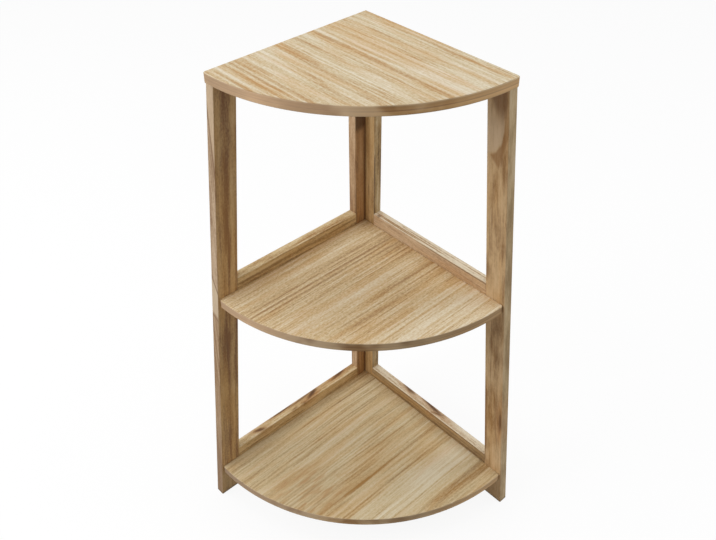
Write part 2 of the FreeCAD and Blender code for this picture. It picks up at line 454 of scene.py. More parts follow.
# %% Draw single streaks
STREAK_END_BLUR = 0.03
STREAK_BREAKS = (16.0, 330.0, 200.0)


def draw_streaks(bench, board, streaks):
    """Darkens (or with a negative depth lightens) the tone along single lines of the grain."""
    if not streaks:
        return
    broken = bench.fade(bench.noise(board.place, STREAK_BREAKS), 0.05, 0.55)
    # A few lines in the tables are painted shade, where a board lies in the shade of a neighbour.
    for middle, half_width, depth, start, end in streaks:
        off = bench.sum("ABSOLUTE", bench.sum("SUBTRACT", board.ring, middle))
        line = bench.times(bench.fade(off, half_width, 0.0), broken)
        length = bench.between(board.along, start, end, STREAK_END_BLUR)
        shown = bench.times(line, length)
        board.tone = bench.sum("MULTIPLY_ADD", shown, -depth, board.tone)


print("streaks fade out over", 2 * STREAK_END_BLUR, "m")

# %% [markdown]
# ## Worn edges and a matt coat
# Hands rub the rounded arrises paler, and dirt settles where they do not reach. On a flat face one
# part of the normal is close to 1, so an arris is where none is. Over the colour lies a matt clear
# coat with a shallow relief. The relief is bump only, because the real one is thinner than a hair.

# %% Wear the arrises
RUBBED_PALE = (216, 193, 156)
SOILED_DARK = (116, 84, 54)
WEAR_WAVES = (9.0, 30.0, 30.0)
WEAR_SHARE = 0.40


def tint(bench, where, amount, colour, rgb):
    """A colour moved towards a paint by an amount, where the pattern is 1."""
    return bench.blend(bench.times(where, amount), colour, paint(*rgb))


def rub_arrises(bench, board, colour):
    """Makes the rounded edges paler where they are rubbed, and darker where dirt has settled."""
    widest = bench.sum("MAXIMUM", board.facing[0], board.facing[1])
    flattest = bench.sum("MAXIMUM", widest, board.facing[2])
    arris = bench.fade(flattest, 0.985, 0.85)
    rubbed = bench.fade(bench.noise(board.place, WEAR_WAVES), 0.38, 0.58)
    soiled = bench.times(arris, bench.sum("SUBTRACT", 1.0, rubbed))
    colour = tint(bench, soiled, WEAR_SHARE, colour, SOILED_DARK)
    return tint(bench, bench.times(arris, rubbed), WEAR_SHARE, colour, RUBBED_PALE)


print("arrises change by up to", WEAR_SHARE)

# %% Coat the wood
RELIEF_DEPTH = 0.0004
RELIEF_STRENGTH = 0.35
MATT = 0.68
FIBRE_SHINE = 0.16


def coat(bench, board, colour, gloss):
    """A matt clear coat over the colour, with a relief from tone and fibre."""
    half_tone = bench.times(board.tone, 0.5)
    height = bench.sum("MULTIPLY_ADD", board.fibre, 0.5, half_tone)
    relief = {"Strength": RELIEF_STRENGTH, "Distance": RELIEF_DEPTH, "Height": height}
    bump = bench.add("ShaderNodeBump", relief)
    rough = bench.sum("MULTIPLY_ADD", board.fibre, -FIBRE_SHINE, MATT)
    values = {"Base Color": colour, "Roughness": rough, "Normal": bump.outputs[0]}
    values["Specular IOR Level"] = gloss
    surface = bench.add("ShaderNodeBsdfPrincipled", values)
    bench.add("ShaderNodeOutputMaterial", {"Surface": surface.outputs[0]})


print("coat roughness from", round(MATT - FIBRE_SHINE, 2), "to", MATT)

# %% [markdown]
# ## A finish for a board
# The tone of the grain picks a colour between a dark streak, the body of the wood and its palest
# fibres. Slow patches then turn the wood a little warmer or cooler, as in any natural board. A
# board may be dressed further, with a function of its own, where its narrow faces or its ends look
# different. Knots come last, with a brown halo round a dark heart.

# %% Write the wood finish
KNOT_BROWN = (84, 56, 36)
KNOT_HALO = (176, 126, 76)
KNOT_DARKENS = 0.3
HALO_SHARE = 0.55
HEART_SHARE = 0.88
WARM_BROWN = (200, 156, 96)
COOL_PALE = (206, 193, 160)


def wood_ramp(bench, tone, tones):
    """The colour of a tone, from the dark, middle and pale colours of one board."""
    dark, middle, pale = tones
    stops = ((0.12, paint(*dark)), (0.50, paint(*middle)), (0.88, paint(*pale)))
    return bench.ramp(tone, stops)


def wood(name, axes, face, tones, amounts, contrast=1.4, turn=(0, 0, 0), warm=0.3, cool=0.1,
         gloss=0.25, streaks=(), knots=(), dress=None):
    """A wood finish. axes names the directions along, across and through the board.

    face is where, in the third direction, the board's best face lies.
    """
    material, bench = new_finish(name)
    board = lay_grain(bench, axes, face, turn, amounts, knots)
    board.tone = bench.nudge(0.5, board.tone, contrast)
    draw_streaks(bench, board, streaks)
    board.tone = bench.sum("MULTIPLY_ADD", board.knot, -KNOT_DARKENS, board.tone)
    colour = wood_ramp(bench, board.tone, tones)
    colour = tint(bench, board.warm, warm, colour, WARM_BROWN)
    colour = tint(bench, bench.sum("SUBTRACT", 1.0, board.warm), cool, colour, COOL_PALE)
    if dress:
        colour = dress(bench, board, colour)
    colour = tint(bench, board.halo, HALO_SHARE, colour, KNOT_HALO)
    colour = tint(bench, board.knot, HEART_SHARE, colour, KNOT_BROWN)
    coat(bench, board, rub_arrises(bench, board, colour), gloss)
    return material


print("wood finish ready")

# %% Put a finish on a board
finished = set()


def finish(node, material):
    """Puts a finish on every material slot of a CAD node."""
    materials = boards[node].data.materials
    for place in range(len(materials)):
        materials[place] = material
    finished.add(node)


print(len(boards), "nodes to finish")

# %% [markdown]
# ## The shelves' edges
# The shelves are glued up from layers, and the curved front shows them as faint lines that follow
# the curve: a dark lower arris, a glue line near the middle, and a paler top layer. On the left the
# cut follows the layers and they fade into one warm tan. The right tip is painted paler: painted
# light from the right. Along the curve the edge also changes from pale to dark, differently on each
# shelf, partly by the wood's tone and partly by painted light and shade, so a second ramp reads the
# distance to the right. The layers could be cut into the solid, but on the real shelf they are
# flush, so colour is true to it.

# %% Colour the layers
EDGE_LAYERS = (
    (0.00, (122, 84, 47)),
    (0.12, (212, 163, 99)),
    (0.38, (226, 176, 112)),
    (0.45, (167, 118, 67)),
    (0.51, (171, 122, 72)),
    (0.57, (209, 159, 96)),
    (0.82, (187, 138, 80)),
    (0.94, (223, 189, 142)),
)
EDGE_WARM = (226, 193, 158)
EDGE_LIT_PALE = (235, 206, 162)
WARM_LEFT_OF = (0.045, -0.005)
LIT_RIGHT_OF = (0.045, 0.085)
LAYER_SWAY = 0.10
SAW_MARKS = 0.35


def shade_of(bench, level):
    """A grey of the given level, to multiply a colour with."""
    return bench.add("ShaderNodeCombineColor", {0: level, 1: level, 2: level}).outputs[0]


def layered_edge(low, high, tone_and_light, figure):
    """A dress for a shelf between two heights, with its edge's tone and painted light from left to
    right.

    figure, if there is one, dresses the shelf's face first.
    """
    def dress(bench, board, colour):
        right, _, height = bench.split(board.where)
        inputs = {"Value": height, "From Min": low, "From Max": high}
        level = bench.add("ShaderNodeMapRange", inputs).outputs[0]
        level = bench.nudge(level, bench.noise(board.where, (14.0, 14.0, 4.0)), LAYER_SWAY)
        stops = [(position, paint(*rgb)) for position, rgb in EDGE_LAYERS]
        layers = bench.ramp(level, stops)
        layers = tint(bench, bench.fade(right, *WARM_LEFT_OF), 0.75, layers, EDGE_WARM)
        # The right tip is painted paler: painted light from the right.
        layers = tint(bench, bench.fade(right, *LIT_RIGHT_OF), 0.40, layers, EDGE_LIT_PALE)
        # A ramp along the curve sets the edge's tone, partly the wood's own and partly painted
        # light and shade.
        inputs = {"Value": right, "From Min": cad_box[0].x, "From Max": cad_box[1].x}
        reach = bench.add("ShaderNodeMapRange", inputs).outputs[0]
        tone_and_light_ramp = bench.ramp(reach, [(position, (grey, grey, grey)) for position, grey in tone_and_light])
        layers = bench.blend(1.0, layers, tone_and_light_ramp, how="MULTIPLY")
        saw_lines = bench.noise(board.where, (50.0, 50.0, 900.0), roughness=0.6)
        sawn = shade_of(bench, bench.nudge(1.0, saw_lines, SAW_MARKS))
        layers = bench.blend(1.0, layers, sawn, how="MULTIPLY")
        if figure:
            colour = figure(bench, board, colour)
        return bench.blend(bench.fade(board.facing[2], 0.75, 0.35), colour, layers)
    return dress


print(len(EDGE_LAYERS), "stops in the edge's layers")

# %% [markdown]
# ## The top shelf
# The top shelf is the palest board. Its grain runs along the right wall, straight and lively, with
# a few darker streaks and some broad pale ones between them. Streaks with a width of a few
# centimetres are zones, which make a part of the board a little darker or paler.

# %% Streak the top shelf
TOP_TONES = ((170, 126, 76), (206, 188, 152), (230, 221, 203))
TOP_STREAKS = (
    (0.139, 0.0060, 0.26, -0.02, 0.07),
    (0.126, 0.0070, -0.12, -0.16, 0.02),
    (0.118, 0.0040, 0.22, -0.16, 0.10),
    (0.100, 0.0600, -0.12, 0.00, 0.10),
    (0.065, 0.0050, 0.32, -0.16, 0.09),
    (0.054, 0.0040, -0.16, -0.16, 0.05),
    (0.042, 0.0060, 0.30, -0.16, -0.09),
    (0.038, 0.0060, 0.21, 0.03, 0.09),
    (0.030, 0.0050, -0.16, -0.16, 0.05),
    (0.017, 0.0070, 0.30, -0.14, -0.08),
    (0.010, 0.0030, 0.20, -0.06, 0.09),
    (0.003, 0.0060, -0.20, -0.16, 0.00),
    (-0.008, 0.0060, 0.20, -0.08, -0.03),
    (-0.016, 0.0080, -0.22, -0.16, -0.06),
    (-0.028, 0.0080, -0.20, -0.16, 0.00),
    (-0.042, 0.0036, 0.29, -0.16, 0.00),
    (-0.050, 0.0030, 0.20, -0.16, -0.02),
    (-0.058, 0.0036, 0.27, -0.16, -0.04),
    (0.093, 0.0200, -0.06, -0.16, 0.10),
    (0.055, 0.0200, 0.12, -0.04, 0.06),
    (-0.005, 0.0250, 0.10, -0.08, 0.02),
)
print(len(TOP_STREAKS), "streaks on the top shelf")

# %% Finish the top shelf
SHELF_CONTRAST = 1.65
SHELF_COOL = 0.2


def finish_shelf(name, tone_and_light, figure=None, **choices):
    """A wood finish with layered edges for one shelf."""
    low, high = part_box(name)
    dress = layered_edge(low.z, high.z, tone_and_light, figure)
    finish(name, wood(name + "_wood", face=high.z, contrast=SHELF_CONTRAST, cool=SHELF_COOL,
                      dress=dress, **choices))
    print(name, "from", round(low.z, 4), "to", round(high.z, 4), "m")


TOP_GRAIN = {"Seed": 1.3, "Bands": 0.15, "Lines": 0.55, "Streaks": 0.72, "Hairs": 0.50,
             "Flecks": 0.50}
# The edge along the curve, from left to right: partly its tone, partly painted light and shade.
TOP_EDGE_TONE_AND_LIGHT = (
    (0.05, 0.66),
    (0.16, 0.74),
    (0.25, 0.95),
    (0.45, 1.00),
    (0.54, 0.80),
    (0.66, 0.80),
    (0.78, 0.95),
)
finish_shelf("top_shelf", TOP_EDGE_TONE_AND_LIGHT, axes="XYZ", tones=TOP_TONES, amounts=TOP_GRAIN,
             warm=0.40, streaks=TOP_STREAKS)

# %% [markdown]
# ## The middle shelf
# The middle shelf's grain runs along the left wall. It is a little darker and warmer, with a group
# of fine dark lines on its left half and one broader streak just right of the middle.

# %% Streak the middle shelf
MIDDLE_TONES = ((156, 106, 54), (219, 190, 142), (245, 232, 206))
MIDDLE_STREAKS = (
    (-0.110, 0.0050, -0.13, -0.12, 0.15),
    (-0.096, 0.0018, 0.15, -0.12, 0.15),
    (-0.090, 0.0018, 0.16, -0.12, 0.10),
    (-0.083, 0.0018, 0.18, -0.12, 0.15),
    (-0.077, 0.0022, 0.21, -0.12, 0.15),
    (-0.075, 0.0160, 0.06, -0.12, 0.15),
    (-0.069, 0.0020, 0.17, -0.12, 0.15),
    (-0.062, 0.0018, 0.14, -0.12, 0.15),
    (-0.050, 0.0060, -0.10, -0.12, 0.15),
    (-0.040, 0.0018, 0.14, -0.12, 0.15),
    (-0.031, 0.0060, -0.10, -0.12, 0.15),
    (-0.010, 0.0080, 0.24, 0.02, 0.15),
    (0.013, 0.0120, 0.12, -0.02, 0.05),
    (0.000, 0.0050, -0.07, -0.12, 0.15),
    (0.013, 0.0020, 0.14, -0.12, 0.15),
    (0.022, 0.0060, -0.08, -0.12, 0.15),
    (0.030, 0.0020, 0.16, -0.12, 0.15),
    (0.046, 0.0080, -0.10, -0.12, 0.15),
    (0.057, 0.0018, 0.14, -0.12, 0.15),
    (0.066, 0.0080, -0.10, -0.12, 0.15),
    (0.074, 0.0018, 0.13, -0.12, 0.15),
    (0.085, 0.0600, -0.22, -0.12, 0.15),
    (0.000, 0.1000, -0.10, -0.12, -0.04),
    (-0.060, 0.0500, 0.12, 0.09, 0.15),
    (-0.125, 0.0300, -0.08, -0.02, 0.10),
)
print(len(MIDDLE_STREAKS), "streaks on the middle shelf")

# %% Finish the middle shelf
MIDDLE_GRAIN = {"Seed": 2.9, "Wander": 0.005, "Pitch": 300.0, "Bands": 0.15, "Lines": 0.80,
                "Streaks": 0.50, "Hairs": 0.30, "Flecks": 0.50}
# The edge along the curve, from left to right: partly its tone, partly painted light and shade.
MIDDLE_EDGE_TONE_AND_LIGHT = (
    (0.10, 0.70),
    (0.21, 0.84),
    (0.32, 0.78),
    (0.45, 0.58),
    (0.56, 0.50),
    (0.74, 0.46),
    (0.86, 0.63),
)
finish_shelf("middle_shelf", MIDDLE_EDGE_TONE_AND_LIGHT, axes="YXZ", tones=MIDDLE_TONES,
             amounts=MIDDLE_GRAIN, warm=0.40, streaks=MIDDLE_STREAKS)

# %% [markdown]
# ## The low shelf
# The low shelf has the same grain direction, but comes from nearer the heart of the tree: its lines
# sway more and two dark ones run the full length. At the front left the fibres are wavy, and show
# as short orange-brown strokes. Short noise in a soft-edged patch gives them.

# %% Streak the low shelf
LOW_TONES = ((148, 108, 56), (208, 186, 143), (229, 217, 190))
LOW_STREAKS_AND_SHADE = (
    (-0.114, 0.0025, 0.13, -0.15, 0.15),
    (-0.105, 0.0060, -0.08, -0.15, 0.15),
    (-0.096, 0.0018, 0.13, -0.15, 0.15),
    (-0.080, 0.0025, 0.13, -0.15, 0.15),
    (-0.065, 0.0090, -0.16, -0.15, 0.15),
    (-0.055, 0.0030, 0.11, -0.15, 0.15),
    (-0.043, 0.0060, -0.13, -0.05, 0.15),
    (-0.022, 0.0060, 0.10, -0.06, 0.00),
    (0.017, 0.0070, 0.18, -0.15, 0.15),
    (0.034, 0.0050, -0.11, -0.15, 0.15),
    (0.045, 0.0026, 0.23, -0.15, 0.15),
    (0.076, 0.0340, -0.28, 0.03, 0.15),
    (0.076, 0.0340, -0.14, -0.15, 0.03),
    (-0.060, 0.0600, 0.06, 0.05, 0.15),
    (0.090, 0.0020, 0.11, -0.10, 0.15),
    (0.114, 0.0160, 0.24, 0.02, 0.15),
    # This zone darkens the shelf along the left rail towards the back: painted shade.
    (-0.130, 0.0250, 0.12, 0.05, 0.15),
    (-0.075, 0.0300, -0.07, -0.15, 0.15),
    (0.062, 0.0300, -0.10, 0.04, 0.15),
    (0.020, 0.0300, 0.04, -0.08, 0.04),
    (-0.020, 0.1000, 0.14, -0.15, -0.06),
    (0.020, 0.0080, 0.16, -0.04, 0.00),
)
print(len(LOW_STREAKS_AND_SHADE), "streaks on the low shelf")

# %% Finish the low shelf
LOW_GRAIN = {"Seed": 4.1, "Wander": 0.012, "Pitch": 230.0, "Bands": 0.15, "Lines": 0.52,
             "Streaks": 0.60, "Hairs": 0.15, "Flecks": 0.32}
# The edge along the curve, from left to right: partly its tone, partly painted light and shade.
LOW_EDGE_TONE_AND_LIGHT = (
    (0.10, 0.47),
    (0.24, 0.59),
    (0.50, 0.62),
    (0.68, 0.70),
    (0.80, 0.55),
    (0.86, 0.50),
    (0.96, 0.78),
)
CURL_WAVES = (24.0, 150.0, 150.0)
CURL_BODY = (206, 183, 142)
CURL_PALE = (214, 200, 166)
CURL_ORANGE = (182, 136, 84)


def curly_patch(bench, board, colour):
    """The front left of the low shelf, where wavy fibres show as short orange strokes."""
    patch = bench.between(board.along, -0.120, -0.040, 0.025)
    patch = bench.times(patch, bench.between(board.across, -0.056, 0.018, 0.012))
    curl = bench.noise(board.place, CURL_WAVES)
    colour = tint(bench, patch, 0.35, colour, CURL_BODY)
    pale = bench.times(patch, bench.fade(curl, 0.54, 0.66))
    colour = tint(bench, pale, 0.45, colour, CURL_PALE)
    stroke = bench.times(patch, bench.fade(curl, 0.50, 0.36))
    return tint(bench, stroke, 0.60, colour, CURL_ORANGE)


finish_shelf("low_shelf", LOW_EDGE_TONE_AND_LIGHT, curly_patch, axes="YXZ", tones=LOW_TONES,
             amounts=LOW_GRAIN, warm=0.32, streaks=LOW_STREAKS_AND_SHADE)

# %% [markdown]
# ## Slanting rings on the left post
# Each post shows two faces: a broad one that looks into the corner and a narrow one in front. On
# the left post's narrow face the growth rings run out at a slant, as pale and dark stripes. Just
# below the middle shelf they leave a pale wedge between two dark lines. On such a line, the height
# plus a slope times the distance from the wall is the same everywhere, so a stripe is a band of
# that sum.

# %% Draw the pale wedge
WEDGE_TOP_SLOPE = 1.73
WEDGE_TOP = (0.390, 0.385)
WEDGE_TOP_LINE = (0.3865, 0.3910, 0.0015)
WEDGE_FOOT_SLOPE = 0.50
WEDGE_FOOT = (0.333, 0.336)
WEDGE_FOOT_LINE = (0.3285, 0.3310, 0.0012)
WEDGE_PALE = (210, 190, 160)
WEDGE_DARK = (116, 84, 56)


def pale_wedge(bench, inward, height, crown_line, colour):
    """The pale wedge below the middle shelf, with all the dark lines of the narrow face."""
    upper = bench.sum("MULTIPLY_ADD", inward, WEDGE_TOP_SLOPE, height)
    lower = bench.sum("MULTIPLY_ADD", inward, WEDGE_FOOT_SLOPE, height)
    wedge = bench.times(bench.fade(upper, *WEDGE_TOP), bench.fade(lower, *WEDGE_FOOT))
    colour = tint(bench, wedge, 0.65, colour, WEDGE_PALE)
    lines = bench.between(upper, *WEDGE_TOP_LINE)
    lines = bench.sum("MAXIMUM", lines, bench.between(lower, *WEDGE_FOOT_LINE))
    lines = bench.sum("MAXIMUM", lines, crown_line)
    return tint(bench, lines, 0.70, colour, WEDGE_DARK)


print("wedge from", WEDGE_FOOT[0], "to", WEDGE_TOP[0], "m above the floor")

# %% Draw the slanting rings
LEFT_WALL = -0.150
RING_SLOPE = 6.65
RING_WAVES = 45.0
RING_DARK = (132, 98, 66)
RING_PALE = (216, 192, 158)
BROWNER = (150, 116, 76)
BROWNER_BELOW = (0.345, 0.315)
GREYER = (118, 88, 64)
GREYER_BELOW = (0.15, 0.06)
PALER = (212, 188, 156)
PALER_ABOVE = (0.618, 0.630)
CROWN_LINE = (0.604, 0.618, 0.0050)


def slanting_rings(bench, board, colour):
    """The stripes of the left post's narrow face, browner low down and paler at the top."""
    outer, _, height = bench.split(board.where)
    inward = bench.sum("SUBTRACT", outer, LEFT_WALL)
    colour = tint(bench, bench.fade(height, *BROWNER_BELOW), 0.45, colour, BROWNER)
    crown = bench.sum("MULTIPLY_ADD", inward, RING_SLOPE, height)
    slant = bench.stripes(crown, RING_WAVES, detail=3.0, roughness=0.6)
    colour = tint(bench, bench.fade(slant, 0.50, 0.32), 0.40, colour, RING_DARK)
    colour = tint(bench, bench.fade(slant, 0.52, 0.68), 0.30, colour, RING_PALE)
    colour = tint(bench, bench.fade(height, *GREYER_BELOW), 0.45, colour, GREYER)
    colour = tint(bench, bench.fade(crown, *PALER_ABOVE), 0.55, colour, PALER)
    return pale_wedge(bench, inward, height, bench.between(crown, *CROWN_LINE), colour)


print("a ring climbs", round(RING_SLOPE * 0.013, 3), "m across the post's narrow face")

# %% [markdown]
# ## An oval on the right post
# Near the top of the right post a ring is cut so flat that it shows as a pale oval, with a brown
# point below it and a dark cap above. The cap is partly brown wood and partly painted shade under
# the top shelf. The oval is a squeezed sphere, like a knot. The point and the cap are corners
# between straight lines, each a sum of the places along and across.

# %% Draw the oval
OVAL_MIDDLE = (0.585, 0.124, 0.0)
OVAL_RADII = (0.042, 0.020, 0.1)
OVAL_PALE = (204, 180, 150)
POINT_BROWN = (146, 104, 60)
POINT_SLOPES = (1.17, -3.4)
CAP_BROWN_AND_SHADE = (118, 80, 48)
CAP_SLOPE = 2.67


def brown_point(bench, board, far):
    """1 in the brown point below the oval."""
    left_side = bench.sum("MULTIPLY_ADD", board.across, POINT_SLOPES[0], board.along)
    right_side = bench.sum("MULTIPLY_ADD", board.across, POINT_SLOPES[1], board.along)
    point = bench.times(bench.fade(left_side, 0.682, 0.690), bench.fade(right_side, 0.058, 0.070))
    point = bench.times(point, bench.fade(far, 0.96, 1.06))
    return bench.times(point, bench.fade(board.along, 0.590, 0.560))


def brown_and_shaded_cap(bench, board):
    """1 in the dark cap above the oval, partly brown wood and partly painted shade under the top
    shelf.
    """
    upper_side = bench.sum("MULTIPLY_ADD", board.across, CAP_SLOPE, board.along)
    cap = bench.times(bench.fade(upper_side, 0.934, 0.956), bench.fade(board.along, 0.578, 0.604))
    return bench.times(cap, bench.fade(board.across, 0.150, 0.143))


def oval_figure(bench, board, colour):
    """The pale oval near the top of the right post, with its point and its cap."""
    scaled, far = bench.in_radii(board.place, OVAL_MIDDLE, OVAL_RADII)
    far = bench.nudge(far, bench.noise(scaled, (1.4, 1.4, 1.4)), 0.35)
    oval = bench.times(bench.fade(far, 1.02, 0.92), bench.fade(board.along, 0.615, 0.575))
    colour = tint(bench, oval, 0.55, colour, OVAL_PALE)
    colour = tint(bench, brown_point(bench, board, far), 0.70, colour, POINT_BROWN)
    # The cap's colour is partly painted shade.
    return tint(bench, brown_and_shaded_cap(bench, board), 0.65, colour, CAP_BROWN_AND_SHADE)


print("oval", 2 * OVAL_RADII[0], "m long at", OVAL_MIDDLE[0], "m along the post")

# %% [markdown]
# ## The front posts
# The posts lean back towards the top, so their grain is turned by the same angle. The two faces are
# cut across different parts of the growth rings, so the narrow one gets tones of its own. The feet
# get a dark line of painted shade along the floor. The right post also has a dark mark above the
# low shelf, where the grain parts as it does round a knot, and a line of painted shade along the
# lower part of its rear arris, where it meets the low rail.

# %% Choose the posts' tones
POST_TONES = {
    "left": ((120, 78, 46), (194, 157, 105), (218, 188, 139)),
    "right": ((126, 88, 50), (194, 161, 119), (218, 191, 153)),
}
NARROW_TONES = {
    "left": ((136, 104, 74), (189, 163, 133), (212, 192, 166)),
    "right": ((158, 132, 94), (199, 174, 133), (213, 195, 161)),
}
POST_STREAKS_AND_SHADE = {
    "left": (
        (-0.135, 0.0090, 0.32, 0.25, 0.70),
        (-0.134, 0.0050, 0.20, 0.05, 0.35),
        (-0.122, 0.0030, 0.22, 0.00, 0.50),
    ),
    "right": (
        # This line is painted shade along the rear arris, where the post meets the low rail.
        (0.1195, 0.0030, 0.50, 0.060, 0.200),
        (0.134, 0.0160, 0.16, 0.27, 0.33),
        (0.134, 0.0200, 0.12, 0.02, 0.22),
    ),
}
POST_KNOTS = {
    "left": (),
    "right": (((0.143, 0.1458, 0.0), (0.020, 0.0032, 0.012), 0.80),),
}
print({side: len(streaks) for side, streaks in POST_STREAKS_AND_SHADE.items()}, "streaks on the posts")

# %% Dress the posts
FOOT_SHADE = (92, 68, 46)
FOOT_SHADE_LINE = (0.0045, 0.0005)
LOOKS_FRONT = {"left": 1, "right": 0}


def shade_foot(bench, board, colour):
    """The dark line along the bottom of a foot: painted shade where the foot meets the floor."""
    height = bench.split(board.where)[2]
    return tint(bench, bench.fade(height, *FOOT_SHADE_LINE), 0.6, colour, FOOT_SHADE)


def join_faces(bench, board, side, broad, narrow):
    """The broad faces in one colour and the narrow front and rear faces in another."""
    return bench.blend(bench.fade(board.facing[LOOKS_FRONT[side]], 0.70, 0.92), broad, narrow)


def post_dress(side):
    """A dress for one post: its narrow faces, its figure, and the foot."""
    def dress(bench, board, colour):
        narrow = wood_ramp(bench, board.tone, NARROW_TONES[side])
        if side == "left":
            narrow = slanting_rings(bench, board, narrow)
        else:
            colour = oval_figure(bench, board, colour)
        return shade_foot(bench, board, join_faces(bench, board, side, colour, narrow))
    return dress


# The height below which the feet get painted shade.
print("feet soiled up to", FOOT_SHADE_LINE[0], "m")

# %% Finish the front posts
POST_LEAN = math.atan(70 / 636)
GRAIN_UP = {"left": "ZYX", "right": "ZXY"}
INNER_FACE = {"left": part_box("left_front_post")[1].x, "right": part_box("right_front_post")[0].y}
POST_TURN = {"left": (-POST_LEAN, 0, 0), "right": (0, -POST_LEAN, 0)}
POST_SEED = {"left": 1.7, "right": 3.3}
POST_GRAIN = {
    "left": {"Bands": 0.5, "Lines": 0.35, "Streaks": 0.6, "Hairs": 0.35, "Clouds": 0.6},
    "right": {"Bands": 0.3, "Lines": 0.3, "Streaks": 0.5, "Hairs": 0.4, "Flecks": 0.2,
              "Clouds": 1.25},
}
for side in ("left", "right"):
    amounts = {"Seed": POST_SEED[side], "Wander": 0.012, "Pitch": 120.0, **POST_GRAIN[side]}
    finish(side + "_front_post", wood(
        side + "_post_wood", GRAIN_UP[side], INNER_FACE[side], POST_TONES[side], amounts,
        turn=POST_TURN[side], streaks=POST_STREAKS_AND_SHADE[side], knots=POST_KNOTS[side],
        dress=post_dress(side)))
print("posts lean", round(math.degrees(POST_LEAN), 2), "degrees")

# %% [markdown]
# ## The rear stiles
# The two upright boards in the corner are seen only in part. They stand in the shade of the corner,
# and the left one is browner than the rest of the unit. Its inner face gets painted shade where the
# two meet and in a patch under the top shelf. The right one has a soiled arris. These marks are
# tinted by their place on the board.

# %% Paint the corner shade and soil the stiles
SHADE_AND_DIRT_DARK = (66, 44, 28)
SOIL_WAVES = (18.0, 18.0, 18.0)
CORNER_SHADE_EDGE = (0.1315, 0.1370)
SHADE_PATCH_UNDER_TOP = (0.501, 0.530, 0.006)
SOILED_ARRIS = (0.0032, 0.0008)
SOILED_BELOW = (0.53, 0.47)


def shade_corner(bench, board, colour):
    """The left stile's inner face, with painted shade in the corner and in a patch under the top
    shelf.
    """
    inner_face = bench.fade(board.through, -0.0015, -0.0003)
    corner = bench.times(bench.fade(board.across, *CORNER_SHADE_EDGE), 0.65)
    patch = bench.times(bench.between(board.along, *SHADE_PATCH_UNDER_TOP), 0.75)
    dark = bench.sum("MAXIMUM", corner, patch)
    return tint(bench, dark, inner_face, colour, SHADE_AND_DIRT_DARK)


def soil_arris(bench, board, narrow):
    """The right stile's narrow face, with a soiled arris on its lower part."""
    arris = bench.fade(board.through, *SOILED_ARRIS)
    patchy = bench.fade(bench.noise(board.place, SOIL_WAVES), 0.35, 0.60)
    soiled = bench.times(bench.times(arris, patchy), 0.9)
    return tint(bench, soiled, bench.fade(board.along, *SOILED_BELOW), narrow, SHADE_AND_DIRT_DARK)


print("dark patch from", SHADE_PATCH_UNDER_TOP[0], "to", SHADE_PATCH_UNDER_TOP[1], "m above the floor")

# %% Finish the rear stiles
STILE_TONES = {
    "left": ((100, 66, 38), (176, 129, 81), (208, 168, 120)),
    "right": ((120, 86, 48), (186, 150, 101), (212, 182, 134)),
}
STILE_SIDE_TONES = {
    "left": ((120, 88, 58), (178, 143, 106), (212, 182, 146)),
    "right": ((84, 62, 36), (177, 146, 100), (208, 187, 148)),
}
STILE_GRAIN = {
    "left": {"Bands": 0.7, "Clouds": 0.6},
    "right": {"Bands": 0.5, "Clouds": 1.1},
}


def stile_dress(side):
    """A dress for one stile: painted shade in the left one's corner, its narrow face and its foot.
    """
    def dress(bench, board, colour):
        narrow = wood_ramp(bench, board.tone, STILE_SIDE_TONES[side])
        if side == "left":
            colour = shade_corner(bench, board, colour)
        else:
            narrow = soil_arris(bench, board, narrow)
        return shade_foot(bench, board, join_faces(bench, board, side, colour, narrow))
    return dress


for side in ("left", "right"):
    amounts = {"Seed": POST_SEED[side] + 0.9, **STILE_GRAIN[side]}
    finish(side + "_rear_stile", wood(
        side + "_stile_wood", GRAIN_UP[side], INNER_FACE[side], STILE_TONES[side], amounts,
        dress=stile_dress(side)))
print(len(finished), "nodes finished")

# %% [markdown]
# ## The rails
# The rails lie between stile and post. Seen from above they show their upper edge, planed last and
# nearly as pale as the top shelf, and below it the inner face as a darker lip. Knots cut through
# the upper edges of the two low rails. Each knot is given by its middle and its three radii, along,
# across and through the board, by its darkness, and by how far it is turned askew.

# %% Place the rails' knots and streaks
RAIL_KNOTS = {
    "left_low": (
        ((0.089, 0.0745, -0.0105), (0.014, 0.006, 0.0034), 0.9, 0.12),
        ((0.033, 0.0745, -0.0085), (0.012, 0.006, 0.0042), 1.0, 0.30),
        ((0.014, 0.0745, -0.0105), (0.022, 0.006, 0.0020), 0.7, 0.05),
        ((-0.024, 0.0745, -0.0115), (0.022, 0.006, 0.0020), 0.9, 0.0),
        ((-0.070, 0.0745, -0.0055), (0.009, 0.006, 0.0030), 0.9, -0.35),
        ((0.012, 0.0745, -0.0015), (0.006, 0.004, 0.0018), 0.45),
        ((-0.006, 0.0745, -0.0020), (0.006, 0.004, 0.0018), 0.45),
    ),
    "right_low": (
        ((-0.0485, 0.0745, 0.0105), (0.013, 0.006, 0.0034), 0.9, 0.12),
        ((0.000, 0.0745, 0.0100), (0.022, 0.006, 0.0030), 1.0, 0.10),
        ((0.016, 0.0745, 0.0065), (0.010, 0.006, 0.0024), 0.7, -0.40),
    ),
    "right_middle": (((-0.112, 0.3740, 0.0024), (0.003, 0.003, 0.003), 0.7),),
}
RAIL_STREAKS = {
    "left_middle": ((0.3655, 0.0040, 0.24, -0.10, 0.12), (0.3720, 0.0020, 0.20, -0.08, 0.10)),
    "left_low": ((0.0610, 0.0025, 0.25, -0.10, 0.12), (0.0735, 0.0012, 0.20, -0.06, 0.06)),
    "right_middle": (
        (0.37505, 0.0007, 1.20, -0.12, -0.04),
        (0.37580, 0.0005, 0.80, -0.12, 0.00),
        (0.37700, 0.0006, 0.45, -0.06, 0.08),
    ),
    "right_low": ((0.0660, 0.0020, 0.25, -0.10, 0.10), (0.0610, 0.0025, 0.30, -0.10, 0.12)),
}
